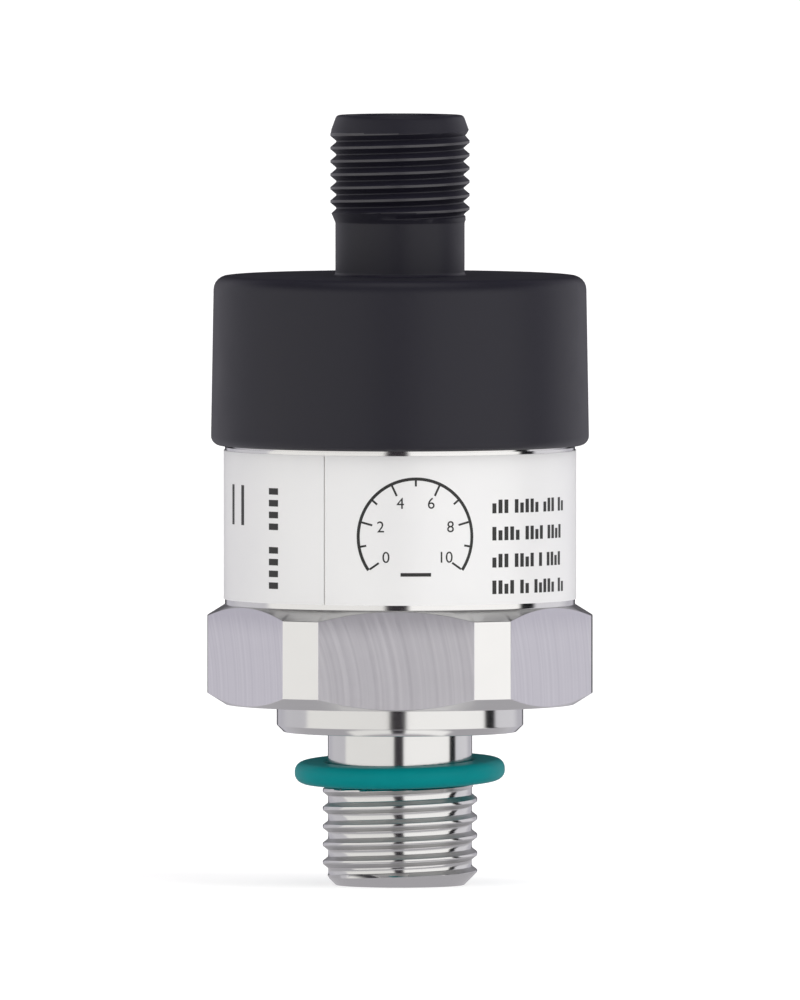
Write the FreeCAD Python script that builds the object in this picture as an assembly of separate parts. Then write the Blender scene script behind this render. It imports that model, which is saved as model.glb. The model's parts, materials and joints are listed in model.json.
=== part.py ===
import FreeCAD, Part
import math
import os

# Pressure transmitter: a stainless body with a process thread, a ceramic pressure cell clamped inside it,
# a board above the cell, and a moulded cap whose neck is the threaded shell of a four-pin plug.
# Millimetres. The axis is Z and the origin is the centre of the process thread's end face. +Z is up through
# the plug, and the front spanner flat faces -Y.

# Process end
PORT_THREAD_D = 13.157
PORT_THREAD_L = 8.7
PORT_THREAD_CHAMFER = 1.1
PORT_BORE_D = 6.0
PORT_BORE_CHAMFER = 0.4
NECK_RELIEF = 0.43
NECK_L = 4.35
FLANGE_D = 21.0
FLANGE_L = 2.36
FLANGE_EDGE_CHAMFER = 0.6

# Hexagon, milled on round bar
HEX_ACROSS_FLATS = 30.0
HEX_CORNER_REACH = 1.4
HEX_L = 8.52
HEX_FOOT_SET_IN = 0.15
HEX_CHAMFER_DEG = 32.0

# Sleeve and the spigot under the cap, each inside the size before it
SLEEVE_SET_IN = 0.1
SLEEVE_L = 13.37
SPIGOT_STEP = 0.6
SPIGOT_L = 6.7
SPIGOT_WALL = 1.9
SPIGOT_TOP_CHAMFER = 0.4
SNAP_GROOVE_DEPTH = 0.4
SNAP_GROOVE_L = 1.2
SNAP_GROOVE_RISE = 1.3
CAP_SEAL_GROOVE_DEPTH = 1.1
CAP_SEAL_GROOVE_L = 2.0
CAP_SEAL_GROOVE_DROP = 1.0

# Clamp nut and the pressure cell under it, each inside the size before it
CAVITY_RISE = 0.6
CAVITY_STEP = 2.1
NUT_CLEARANCE = 0.1
NUT_T = 3.8
NUT_SLOT_W = 2.4
NUT_SLOT_DEPTH = 1.5
NUT_SLOTS = 4
NUT_HOLE_CLEARANCE = 1.5
NUT_OVERHANG = 1.2
SUPPORT_RING_T = 0.6
CELL_CLEARANCE = 0.2
CELL_BASE_T = 4.0
DIAPHRAGM_T = 0.6
CELL_PIN_D = 0.6
CELL_PIN_PITCH = 2.54
CELL_PIN_COUNT = 4
CELL_PIN_Y = 2.2
CELL_PIN_REACH = 0.5
CELL_SEAL_GROOVE_SET_IN = 1.1
CELL_SEAL_GROOVE_W = 2.3
CELL_SEAL_GROOVE_DEPTH = 1.3
FILM_GAP = 0.2
SEAT_RISE = 4.4

# Main board, its foot and its parts
FRAME_CLEARANCE = 0.15
FRAME_RING_W = 1.8
FRAME_RING_L = 2.4
FRAME_POST_W = 4.0
FRAME_POST_L = 9.0
FRAME_SLOT_DEPTH = 1.0
BOARD_LIFT = 1.2
BOARD_T = 1.2
BOARD_SLOT_CLEARANCE = 0.1
BOARD_TAB_W = 5.0
CHIP_SIZE = 6.0
CHIP_T = 1.0
CHIP_DOT_D = 0.8
CHIP_DOT_DEPTH = 0.1
CHIP_HEIGHT = 8.5
CAPACITOR_SIZE = (3.5, 1.9, 2.8)
CAPACITOR_PITCH = 5.0
CAPACITOR_COUNT = 3
CAPACITOR_HEIGHT = 13.4
RESISTOR_SIZE = (1.6, 0.5, 0.8)
RESISTOR_PITCH = 2.4
RESISTOR_COUNT = 6
RESISTOR_HEIGHT = 4.4
DIODE_SIZE = (2.6, 2.2, 4.3)
DIODE_PITCH = 6.0
DIODE_COUNT = 2
DIODE_HEIGHT = 13.0
PART_EDGE = 0.15
FLEX_T = 0.2
FLEX_W = 10.0
FLEX_BEND_R = 0.8
FLEX_MARGIN = 1.4
FLEX_REACH = 5.0
SPRING_T = 0.25
SPRING_W = 2.5
SPRING_PAD_L = 2.6
SPRING_PAD_X = 6.5
SPRING_HEIGHT = 5.6
SPRING_ANGLE_DEG = 58.0
SPRING_CLEARANCE = 0.05

# Cap with the plug shell, one moulding
CAP_SEAT_GAP = 0.15
CAP_SKIRT_CLEARANCE = 0.1
CAP_WALL = 1.7
CAP_L = 14.45
CAP_DRAFT_DEG = 1.0
CAP_TOP_R = 1.2
CAP_TOP_T = 2.2
CAP_FOOT_CHAMFER = 0.5
CAP_RIB_COUNT = 8
CAP_RIB_T = 1.2
CAP_RIB_DEPTH = 1.5
CAP_RIB_CLEARANCE = 0.05
SNAP_BEAD_CLEARANCE = 0.05
PLUG_THREAD_D = 11.85
PLUG_THREAD_L = 6.7
PLUG_RUNOUT_L = 1.0
PLUG_NECK_RELIEF = 0.425
PLUG_NECK_L = 4.5
PLUG_LEAD_L = 1.45
PLUG_LEAD_DEG = 20.0
PLUG_WALL = 1.725
PLUG_SOCKET_DEPTH = 9.0
PLUG_MOUTH_CHAMFER = 0.3
KEY_W = 0.8
KEY_RISE = 0.45
KEY_SETBACK = 0.9

# Pin carrier, plug pins and the board they join
CARRIER_CLEARANCE = 0.05
CARRIER_FLANGE_W = 2.85
CARRIER_FLANGE_T = 1.0
CARRIER_SEAL_T = 0.5
PIN_D = 1.0
PIN_WALL_GAP = 1.7
PIN_COUNT = 4
PIN_SETBACK = 1.6
PIN_TIP_L = 0.5
PIN_TIP_D = 0.5
PIN_TAIL_REACH = 0.4
PIN_HOLE_CLEARANCE = 0.02
JOIN_BOARD_GAP = 0.5
JOIN_BOARD_SET_IN = 0.5
JOIN_BOARD_T = 1.0

# Seal ring on the neck, as it hangs in the photograph
RING_HOLE_CLEARANCE = 0.16
RING_W = 2.64
RING_T = 1.8
RING_EDGE = 0.45
RING_TILT_FRONT_DEG = 2.3
RING_TILT_SIDE_DEG = 1.0
RING_REST_GAP = 0.02

# Label wrapped round the sleeve
LABEL_T = 0.1
LABEL_GLUE_GAP = 0.01
LABEL_FOOT_GAP = 0.45
LABEL_TOP_GAP = 0.25
LABEL_SEAM_DEG = -24.0
LABEL_SEAM_GAP = 0.3

# Clearance of a seal in its groove, each way
SEAL_CLEARANCE = 0.02

# Levels along the axis
NECK_Z = PORT_THREAD_L
FLANGE_Z = NECK_Z + NECK_L
HEX_Z = FLANGE_Z + FLANGE_L
SLEEVE_Z = HEX_Z + HEX_L
SPIGOT_Z = SLEEVE_Z + SLEEVE_L
BODY_TOP_Z = SPIGOT_Z + SPIGOT_L
SEAT_Z = FLANGE_Z + SEAT_RISE
CELL_BASE_Z = SEAT_Z + DIAPHRAGM_T
CELL_TOP_Z = CELL_BASE_Z + CELL_BASE_T
NUT_Z = CELL_TOP_Z + SUPPORT_RING_T
NUT_TOP_Z = NUT_Z + NUT_T
CAVITY_Z = NUT_TOP_Z + CAVITY_RISE
BOARD_Z = CAVITY_Z + BOARD_LIFT
CAP_Z = SPIGOT_Z + CAP_SEAT_GAP
CAP_TOP_Z = CAP_Z + CAP_L
CAP_CEILING_Z = CAP_TOP_Z - CAP_TOP_T
RUNOUT_Z = CAP_TOP_Z + PLUG_NECK_L
PLUG_THREAD_Z = RUNOUT_Z + PLUG_RUNOUT_L
PLUG_LEAD_Z = PLUG_THREAD_Z + PLUG_THREAD_L
PLUG_TOP_Z = PLUG_LEAD_Z + PLUG_LEAD_L
SOCKET_FLOOR_Z = PLUG_TOP_Z - PLUG_SOCKET_DEPTH
CARRIER_TOP_Z = CAP_CEILING_Z - CARRIER_SEAL_T
CARRIER_Z = CARRIER_TOP_Z - CARRIER_FLANGE_T
JOIN_BOARD_TOP_Z = CARRIER_Z - JOIN_BOARD_GAP
JOIN_BOARD_Z = JOIN_BOARD_TOP_Z - JOIN_BOARD_T
SNAP_GROOVE_Z = SPIGOT_Z + SNAP_GROOVE_RISE
CAP_SEAL_GROOVE_Z = BODY_TOP_Z - CAP_SEAL_GROOVE_DROP - CAP_SEAL_GROOVE_L
LABEL_Z = SLEEVE_Z + LABEL_FOOT_GAP
LABEL_TOP_Z = SPIGOT_Z - LABEL_TOP_GAP

# Radii, from the hexagon inwards, then outwards from the spigot and from the two threads
FLAT_R = HEX_ACROSS_FLATS / 2
BAR_R = FLAT_R + HEX_CORNER_REACH
SLEEVE_R = FLAT_R - SLEEVE_SET_IN
SPIGOT_R = SLEEVE_R - SPIGOT_STEP
SNAP_GROOVE_R = SPIGOT_R - SNAP_GROOVE_DEPTH
CAP_SEAL_GROOVE_R = SPIGOT_R - CAP_SEAL_GROOVE_DEPTH
CAVITY_R = SPIGOT_R - SPIGOT_WALL
NUT_BORE_R = CAVITY_R - CAVITY_STEP
NUT_R = NUT_BORE_R - NUT_CLEARANCE
CELL_R = NUT_R - NUT_OVERHANG
CELL_SEAL_GROOVE_R = CELL_R - CELL_SEAL_GROOVE_SET_IN
CELL_PIN_X = CELL_PIN_PITCH * (CELL_PIN_COUNT - 1) / 2
NUT_HOLE_R = math.hypot(CELL_PIN_X, CELL_PIN_Y) + CELL_PIN_D / 2 + NUT_HOLE_CLEARANCE
SKIRT_R = SPIGOT_R + CAP_SKIRT_CLEARANCE
CAP_FOOT_R = SKIRT_R + CAP_WALL
PORT_THREAD_R = PORT_THREAD_D / 2
NECK_R = PORT_THREAD_R - NECK_RELIEF
RING_HOLE_R = NECK_R + RING_HOLE_CLEARANCE
RING_R = RING_HOLE_R + RING_W
PLUG_THREAD_R = PLUG_THREAD_D / 2
PLUG_NECK_R = PLUG_THREAD_R - PLUG_NECK_RELIEF
SOCKET_R = PLUG_THREAD_R - PLUG_WALL
CARRIER_STEM_R = SOCKET_R - CARRIER_CLEARANCE
CARRIER_FLANGE_R = CARRIER_STEM_R + CARRIER_FLANGE_W
SLOPE = math.tan(math.radians(HEX_CHAMFER_DEG))

UP = FreeCAD.Vector(0, 0, 1)
CENTRE = FreeCAD.Vector(0, 0, 0)


def turned(points):
    """A solid of revolution about Z from its half section, given as (radius, z) points."""
    section = [FreeCAD.Vector(radius, 0, z) for radius, z in points]
    face = Part.Face(Part.makePolygon(section + section[:1]))
    return face.revolve(CENTRE, UP, 360)


def tube(outer_r, inner_r, z0, z1):
    return turned([(inner_r, z0), (outer_r, z0), (outer_r, z1), (inner_r, z1)])


def disc(radius, z0, z1):
    return Part.makeCylinder(radius, z1 - z0, FreeCAD.Vector(0, 0, z0))


def block(x0, x1, y0, y1, z0, z1):
    return Part.makeBox(x1 - x0, y1 - y0, z1 - z0, FreeCAD.Vector(x0, y0, z0))


def turn(shape, degrees):
    copy = shape.copy()
    copy.rotate(CENTRE, UP, degrees)
    return copy


def circles(shape, radius, z):
    """The circular edges about Z with this radius at this level."""
    found = []
    for edge in shape.Edges:
        curve = edge.Curve
        if not isinstance(curve, Part.Circle):
            continue
        level = curve.Center.z
        if abs(curve.Radius - radius) < 1e-4 and abs(level - z) < 1e-4:
            found.append(edge)
    return found


def squeezed_seal(inner_r, outer_r, z0, z1):
    """A ring seal as it lies in service, squeezed to the section of the groove that these four sizes give."""
    play = SEAL_CLEARANCE
    return tube(outer_r - play, inner_r + play, z0 + play, z1 - play)


def body_outside():
    foot_r = FLAT_R - HEX_FOOT_SET_IN
    foot_corner_z = HEX_Z + (BAR_R - foot_r) * SLOPE
    head_corner_z = SLEEVE_Z - (BAR_R - SLEEVE_R) * SLOPE
    return turned([
        (0, 0),
        (PORT_THREAD_R - PORT_THREAD_CHAMFER, 0),
        (PORT_THREAD_R, PORT_THREAD_CHAMFER),
        (PORT_THREAD_R, NECK_Z - NECK_RELIEF),
        (NECK_R, NECK_Z),
        (NECK_R, FLANGE_Z),
        (FLANGE_D / 2 - FLANGE_EDGE_CHAMFER, FLANGE_Z),
        (FLANGE_D / 2, FLANGE_Z + FLANGE_EDGE_CHAMFER),
        (FLANGE_D / 2, HEX_Z),
        (foot_r, HEX_Z),
        (BAR_R, foot_corner_z),
        (BAR_R, head_corner_z),
        (SLEEVE_R, SLEEVE_Z),
        (SLEEVE_R, SPIGOT_Z),
        (SPIGOT_R, SPIGOT_Z),
        (SPIGOT_R, SNAP_GROOVE_Z),
        (SNAP_GROOVE_R, SNAP_GROOVE_Z),
        (SNAP_GROOVE_R, SNAP_GROOVE_Z + SNAP_GROOVE_L),
        (SPIGOT_R, SNAP_GROOVE_Z + SNAP_GROOVE_L),
        (SPIGOT_R, CAP_SEAL_GROOVE_Z),
        (CAP_SEAL_GROOVE_R, CAP_SEAL_GROOVE_Z),
        (CAP_SEAL_GROOVE_R, CAP_SEAL_GROOVE_Z + CAP_SEAL_GROOVE_L),
        (SPIGOT_R, CAP_SEAL_GROOVE_Z + CAP_SEAL_GROOVE_L),
        (SPIGOT_R, BODY_TOP_Z - SPIGOT_TOP_CHAMFER),
        (SPIGOT_R - SPIGOT_TOP_CHAMFER, BODY_TOP_Z),
        (0, BODY_TOP_Z),
    ])


def body_inside():
    """The port, the cell's seat with its groove, the nut's thread and the board's cavity, as one cutter."""
    groove_inner_r = CELL_SEAL_GROOVE_R - CELL_SEAL_GROOVE_W
    bore_r = PORT_BORE_D / 2
    seat_r = CELL_R + CELL_CLEARANCE
    return turned([
        (0, 0),
        (bore_r + PORT_BORE_CHAMFER, 0),
        (bore_r, PORT_BORE_CHAMFER),
        (bore_r, SEAT_Z - FILM_GAP),
        (groove_inner_r, SEAT_Z - FILM_GAP),
        (groove_inner_r, SEAT_Z - CELL_SEAL_GROOVE_DEPTH),
        (CELL_SEAL_GROOVE_R, SEAT_Z - CELL_SEAL_GROOVE_DEPTH),
        (CELL_SEAL_GROOVE_R, SEAT_Z),
        (seat_r, SEAT_Z),
        (seat_r, CELL_TOP_Z),
        (NUT_BORE_R, CELL_TOP_Z),
        (NUT_BORE_R, CAVITY_Z),
        (CAVITY_R, CAVITY_Z),
        (CAVITY_R, BODY_TOP_Z),
        (0, BODY_TOP_Z),
    ])


def spanner_flats():
    """What the mill takes off the round bar: six blocks outside the across-flats size."""
    reach = 2 * BAR_R
    flat = block(-reach, reach, -reach, -FLAT_R, HEX_Z, SLEEVE_Z)
    return [turn(flat, 60 * side) for side in range(6)]


def body():
    return body_outside().cut(spanner_flats()).cut(body_inside())


def seal_ring():
    ring = tube(RING_R, RING_HOLE_R, 0, RING_T)
    ring = ring.makeChamfer(RING_EDGE, circles(ring, RING_R, 0) + circles(ring, RING_R, RING_T))
    # The tilted ring rests with its lowest inner point on the cone at the thread's end
    tilt = math.radians(math.hypot(RING_TILT_FRONT_DEG, RING_TILT_SIDE_DEG))
    rest_z = NECK_Z - RING_HOLE_CLEARANCE + RING_HOLE_R * math.sin(tilt)
    middle = FreeCAD.Vector(0, 0, rest_z + RING_REST_GAP)
    ring.translate(middle)
    ring.rotate(middle, FreeCAD.Vector(1, 0, 0), RING_TILT_FRONT_DEG)
    ring.rotate(middle, FreeCAD.Vector(0, 1, 0), -RING_TILT_SIDE_DEG)
    return ring


def type_label():
    inner_r = SLEEVE_R + LABEL_GLUE_GAP
    outer_r = inner_r + LABEL_T
    seam = math.degrees(LABEL_SEAM_GAP / outer_r)
    section = [
        FreeCAD.Vector(inner_r, 0, LABEL_Z),
        FreeCAD.Vector(outer_r, 0, LABEL_Z),
        FreeCAD.Vector(outer_r, 0, LABEL_TOP_Z),
        FreeCAD.Vector(inner_r, 0, LABEL_TOP_Z),
    ]
    face = Part.Face(Part.makePolygon(section + section[:1]))
    wrap = face.revolve(CENTRE, UP, 360 - seam)
    return turn(wrap, LABEL_SEAM_DEG - 90 + seam / 2)


def cap_outside():
    top_r = CAP_FOOT_R - CAP_L * math.tan(math.radians(CAP_DRAFT_DEG))
    rim_r = PLUG_THREAD_R - PLUG_LEAD_L * math.tan(math.radians(PLUG_LEAD_DEG))
    shape = turned([
        (0, CAP_Z),
        (CAP_FOOT_R, CAP_Z),
        (top_r, CAP_TOP_Z),
        (PLUG_NECK_R, CAP_TOP_Z),
        (PLUG_NECK_R, RUNOUT_Z),
        (PLUG_THREAD_R, PLUG_THREAD_Z),
        (PLUG_THREAD_R, PLUG_LEAD_Z),
        (rim_r, PLUG_TOP_Z),
        (0, PLUG_TOP_Z),
    ])
    shape = shape.makeFillet(CAP_TOP_R, circles(shape, top_r, CAP_TOP_Z))
    return shape.makeChamfer(CAP_FOOT_CHAMFER, circles(shape, CAP_FOOT_R, CAP_Z))


def cap_inside():
    """The skirt's bore with its snap bead, the space over the board and the plug's socket, as one cutter."""
    bead_r = SNAP_GROOVE_R + SNAP_BEAD_CLEARANCE
    bead_z = SNAP_GROOVE_Z + SNAP_BEAD_CLEARANCE
    bead_top_z = SNAP_GROOVE_Z + SNAP_GROOVE_L - SNAP_BEAD_CLEARANCE
    bead_rise = SKIRT_R - bead_r
    return turned([
        (0, CAP_Z),
        (SKIRT_R, CAP_Z),
        (SKIRT_R, bead_z),
        (bead_r, bead_z + bead_rise),
        (bead_r, bead_top_z),
        (SKIRT_R, bead_top_z),
        (SKIRT_R, CAP_CEILING_Z),
        (SOCKET_R, CAP_CEILING_Z),
        (SOCKET_R, PLUG_TOP_Z - PLUG_MOUTH_CHAMFER),
        (SOCKET_R + PLUG_MOUTH_CHAMFER, PLUG_TOP_Z),
        (0, PLUG_TOP_Z),
    ])


def cap_stop_ribs():
    """Ribs inside the cap whose feet sit on the spigot's rim."""
    outer_r = SKIRT_R + CAP_RIB_CLEARANCE
    rib = block(SKIRT_R - CAP_RIB_DEPTH, outer_r, -CAP_RIB_T / 2, CAP_RIB_T / 2, BODY_TOP_Z, CAP_CEILING_Z)
    return [turn(rib, 360 * n / CAP_RIB_COUNT) for n in range(CAP_RIB_COUNT)]


def plug_key():
    """The coding rib along the socket's wall, at the back."""
    wall = SOCKET_R + CARRIER_CLEARANCE
    return block(-KEY_W / 2, KEY_W / 2, SOCKET_R - KEY_RISE, wall, SOCKET_FLOOR_Z, PLUG_TOP_Z - KEY_SETBACK)


def plug_cap():
    return cap_outside().cut(cap_inside()).fuse(cap_stop_ribs() + [plug_key()]).removeSplitter()


def cap_seal():
    top_z = CAP_SEAL_GROOVE_Z + CAP_SEAL_GROOVE_L
    return squeezed_seal(CAP_SEAL_GROOVE_R, SKIRT_R, CAP_SEAL_GROOVE_Z, top_z)


def cell_seal():
    inner_r = CELL_SEAL_GROOVE_R - CELL_SEAL_GROOVE_W
    return squeezed_seal(inner_r, CELL_SEAL_GROOVE_R, SEAT_Z - CELL_SEAL_GROOVE_DEPTH, SEAT_Z)


def carrier_seal():
    return squeezed_seal(CARRIER_STEM_R, CARRIER_FLANGE_R, CARRIER_TOP_Z, CAP_CEILING_Z)


def cell_diaphragm():
    return disc(CELL_R, SEAT_Z, CELL_BASE_Z)


def cell_base():
    return disc(CELL_R, CELL_BASE_Z, CELL_TOP_Z)


def support_ring():
    return tube(CELL_R, NUT_HOLE_R, CELL_TOP_Z, NUT_Z)


def clamp_nut():
    nut = tube(NUT_R, NUT_HOLE_R, NUT_Z, NUT_TOP_Z)
    slot = block(0, 2 * NUT_R, -NUT_SLOT_W / 2, NUT_SLOT_W / 2, NUT_TOP_Z - NUT_SLOT_DEPTH, NUT_TOP_Z)
    return nut.cut([turn(slot, 360 * n / NUT_SLOTS) for n in range(NUT_SLOTS)])


def cell_pin_places():
    """The cell pins' places along X, in one row behind the axis."""
    return [n * CELL_PIN_PITCH - CELL_PIN_X for n in range(CELL_PIN_COUNT)]


def flex_z():
    """The underside of the lead's flat end, just above the clamp nut."""
    return NUT_TOP_Z + FLEX_T


def cell_pins():
    top_z = flex_z() + FLEX_T + CELL_PIN_REACH
    pins = []
    for x in cell_pin_places():
        foot = FreeCAD.Vector(x, CELL_PIN_Y, CELL_TOP_Z)
        pins.append(Part.makeCylinder(CELL_PIN_D / 2, top_z - CELL_TOP_Z, foot))
    return Part.makeCompound(pins)


def flex_lead():
    """A strip that lies on the cell pins' ends, bends up and runs along the back of the main board."""
    z0 = flex_z()
    face_y = BOARD_T / 2
    outer_r = FLEX_BEND_R + FLEX_T
    end_y = CELL_PIN_Y + FLEX_MARGIN
    flat = block(-FLEX_W / 2, FLEX_W / 2, face_y + outer_r, end_y, z0, z0 + FLEX_T)
    rise = block(-FLEX_W / 2, FLEX_W / 2, face_y, face_y + FLEX_T, z0 + outer_r, BOARD_Z + FLEX_REACH)
    axis_at = FreeCAD.Vector(-FLEX_W / 2, face_y + outer_r, z0 + outer_r)
    along = FreeCAD.Vector(1, 0, 0)
    bend = Part.makeCylinder(outer_r, FLEX_W, axis_at, along)
    bend = bend.cut(Part.makeCylinder(FLEX_BEND_R, FLEX_W, axis_at, along))
    bend = bend.common(block(-FLEX_W / 2, FLEX_W / 2, face_y, face_y + outer_r, z0, z0 + outer_r))
    strip = flat.fuse([bend, rise]).removeSplitter()
    hole_r = CELL_PIN_D / 2 + PIN_HOLE_CLEARANCE
    holes = []
    for x in cell_pin_places():
        holes.append(Part.makeCylinder(hole_r, FLEX_T, FreeCAD.Vector(x, CELL_PIN_Y, z0)))
    return strip.cut(holes)


def board_half_width():
    """The main board's half width: its edges end at the floor of the frame's slots."""
    post_inner_x = frame_outer_r() - FRAME_RING_W
    return post_inner_x + FRAME_SLOT_DEPTH - BOARD_SLOT_CLEARANCE


def frame_outer_r():
    return CAVITY_R - FRAME_CLEARANCE


def board_frame():
    outer_r = frame_outer_r()
    inner_r = outer_r - FRAME_RING_W
    ring = tube(outer_r, inner_r, CAVITY_Z, CAVITY_Z + FRAME_RING_L)
    post = tube(outer_r, inner_r, CAVITY_Z, CAVITY_Z + FRAME_POST_L)
    band = block(-outer_r, outer_r, -FRAME_POST_W / 2, FRAME_POST_W / 2, CAVITY_Z, CAVITY_Z + FRAME_POST_L)
    frame = ring.fuse(post.common(band)).removeSplitter()
    half_slot = BOARD_T / 2 + BOARD_SLOT_CLEARANCE
    slot_r = inner_r + FRAME_SLOT_DEPTH
    slot = block(-slot_r, slot_r, -half_slot, half_slot, BOARD_Z, CAVITY_Z + FRAME_POST_L)
    return frame.cut(slot)


def main_board():
    half_w = board_half_width()
    half_t = BOARD_T / 2
    board = block(-half_w, half_w, -half_t, half_t, BOARD_Z, JOIN_BOARD_Z)
    tab = block(-BOARD_TAB_W / 2, BOARD_TAB_W / 2, -half_t, half_t, JOIN_BOARD_Z, JOIN_BOARD_TOP_Z)
    return board.fuse(tab).removeSplitter()


def soldered_part(size, x, z, side):
    """A small block part on the main board. side is -1 on the front of the board and 1 on its back."""
    width, thickness, height = size
    y = side * (BOARD_T / 2 + thickness / 2)
    corner = FreeCAD.Vector(x - width / 2, y - thickness / 2, z - height / 2)
    part = Part.makeBox(width, thickness, height, corner)
    return part.makeChamfer(PART_EDGE, outer_edges(part, y + side * thickness / 2))


def outer_edges(part, face_y):
    """The four edges of a block's face that lies at this Y."""
    found = []
    for edge in part.Edges:
        if all(abs(vertex.Point.y - face_y) < 1e-6 for vertex in edge.Vertexes):
            found.append(edge)
    return found


def row_of_parts(size, pitch, count, z, side):
    middle = (count - 1) / 2
    return Part.makeCompound([soldered_part(size, (n - middle) * pitch, z, side) for n in range(count)])


def signal_chip():
    z = BOARD_Z + CHIP_HEIGHT
    chip = soldered_part((CHIP_SIZE, CHIP_T, CHIP_SIZE), 0, z, -1)
    corner = CHIP_SIZE / 2 - CHIP_DOT_D
    face_y = -BOARD_T / 2 - CHIP_T
    dot_at = FreeCAD.Vector(-corner, face_y, z + corner)
    return chip.cut(Part.makeCylinder(CHIP_DOT_D / 2, CHIP_DOT_DEPTH, dot_at, FreeCAD.Vector(0, 1, 0)))


def filter_capacitors():
    return row_of_parts(CAPACITOR_SIZE, CAPACITOR_PITCH, CAPACITOR_COUNT, BOARD_Z + CAPACITOR_HEIGHT, -1)


def chip_resistors():
    return row_of_parts(RESISTOR_SIZE, RESISTOR_PITCH, RESISTOR_COUNT, BOARD_Z + RESISTOR_HEIGHT, -1)


def surge_diodes():
    return row_of_parts(DIODE_SIZE, DIODE_PITCH, DIODE_COUNT, BOARD_Z + DIODE_HEIGHT, 1)


def earth_spring():
    """A bent strip: its foot lies on the back of the board and its tip bears on the cavity's wall."""
    reach_r = CAVITY_R - SPRING_CLEARANCE
    angle = math.radians(SPRING_ANGLE_DEG)
    foot_y = BOARD_T / 2
    foot_x = SPRING_PAD_X - SPRING_PAD_L
    tip_x = reach_r * math.cos(angle)
    tip_y = reach_r * math.sin(angle)
    lean = math.atan2(tip_y - foot_y, tip_x - SPRING_PAD_X)
    across_x = -SPRING_T * math.sin(lean)
    across_y = SPRING_T * math.cos(lean)
    knee_x = SPRING_PAD_X + across_x + (SPRING_T - across_y) / math.tan(lean)
    z = BOARD_Z + SPRING_HEIGHT
    outline = [
        (foot_x, foot_y),
        (SPRING_PAD_X, foot_y),
        (tip_x, tip_y),
        (tip_x + across_x, tip_y + across_y),
        (knee_x, foot_y + SPRING_T),
        (foot_x, foot_y + SPRING_T),
    ]
    points = [FreeCAD.Vector(x, y, z) for x, y in outline]
    face = Part.Face(Part.makePolygon(points + points[:1]))
    spring = face.extrude(FreeCAD.Vector(0, 0, SPRING_W))
    return spring.common(disc(reach_r, z, z + SPRING_W))


def pin_places():
    """The plug pins' places, a square on the pin circle with its corners between the axes."""
    radius = SOCKET_R - PIN_WALL_GAP
    places = []
    for n in range(PIN_COUNT):
        angle = math.radians(135 - 360 * n / PIN_COUNT)
        places.append((radius * math.cos(angle), radius * math.sin(angle)))
    return places


def contact_pin(x, y):
    shank_r = PIN_D / 2
    tip_z = PLUG_TOP_Z - PIN_SETBACK
    pin = turned([
        (0, JOIN_BOARD_Z - PIN_TAIL_REACH),
        (shank_r, JOIN_BOARD_Z - PIN_TAIL_REACH),
        (shank_r, tip_z - PIN_TIP_L),
        (PIN_TIP_D / 2, tip_z),
        (0, tip_z),
    ])
    pin.translate(FreeCAD.Vector(x, y, 0))
    return pin


def pin_holes(z0, z1):
    hole_r = PIN_D / 2 + PIN_HOLE_CLEARANCE
    return [Part.makeCylinder(hole_r, z1 - z0, FreeCAD.Vector(x, y, z0)) for x, y in pin_places()]


def pin_carrier():
    flange = disc(CARRIER_FLANGE_R, CARRIER_Z, CARRIER_TOP_Z)
    stem = disc(CARRIER_STEM_R, CARRIER_Z, SOCKET_FLOOR_Z)
    return flange.fuse(stem).removeSplitter().cut(pin_holes(CARRIER_Z, SOCKET_FLOOR_Z))


def connector_board():
    board = disc(CARRIER_FLANGE_R - JOIN_BOARD_SET_IN, JOIN_BOARD_Z, JOIN_BOARD_TOP_Z)
    half_t = BOARD_T / 2 + BOARD_SLOT_CLEARANCE
    half_w = BOARD_TAB_W / 2 + BOARD_SLOT_CLEARANCE
    slot = block(-half_w, half_w, -half_t, half_t, JOIN_BOARD_Z, JOIN_BOARD_TOP_Z)
    return board.cut(pin_holes(JOIN_BOARD_Z, JOIN_BOARD_TOP_Z) + [slot])


PIECES = {
    "body": body,
    "seal_ring": seal_ring,
    "type_label": type_label,
    "plug_cap": plug_cap,
    "cap_seal": cap_seal,
    "cell_seal": cell_seal,
    "cell_diaphragm": cell_diaphragm,
    "cell_base": cell_base,
    "cell_pins": cell_pins,
    "support_ring": support_ring,
    "clamp_nut": clamp_nut,
    "board_frame": board_frame,
    "main_board": main_board,
    "signal_chip": signal_chip,
    "filter_capacitors": filter_capacitors,
    "chip_resistors": chip_resistors,
    "surge_diodes": surge_diodes,
    "flex_lead": flex_lead,
    "earth_spring": earth_spring,
    "connector_board": connector_board,
    "pin_carrier": pin_carrier,
    "carrier_seal": carrier_seal,
}


def main():
    os.makedirs("parts", exist_ok=True)
    for name, make in PIECES.items():
        make().exportStep(f"parts/{name}.step")
    for number, (x, y) in enumerate(pin_places(), start=1):
        contact_pin(x, y).exportStep(f"parts/contact_pin_{number}.step")


main()
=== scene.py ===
# A compact pressure transmitter: steel process connection and sleeve, wrapped label, moulded cap with plug.
# Meshes are shaped in millimetres, on the axis of the part, and scaled to metres when they are finished.

import json
import math

import bmesh
import bpy
from mathutils import Matrix, Vector


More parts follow.
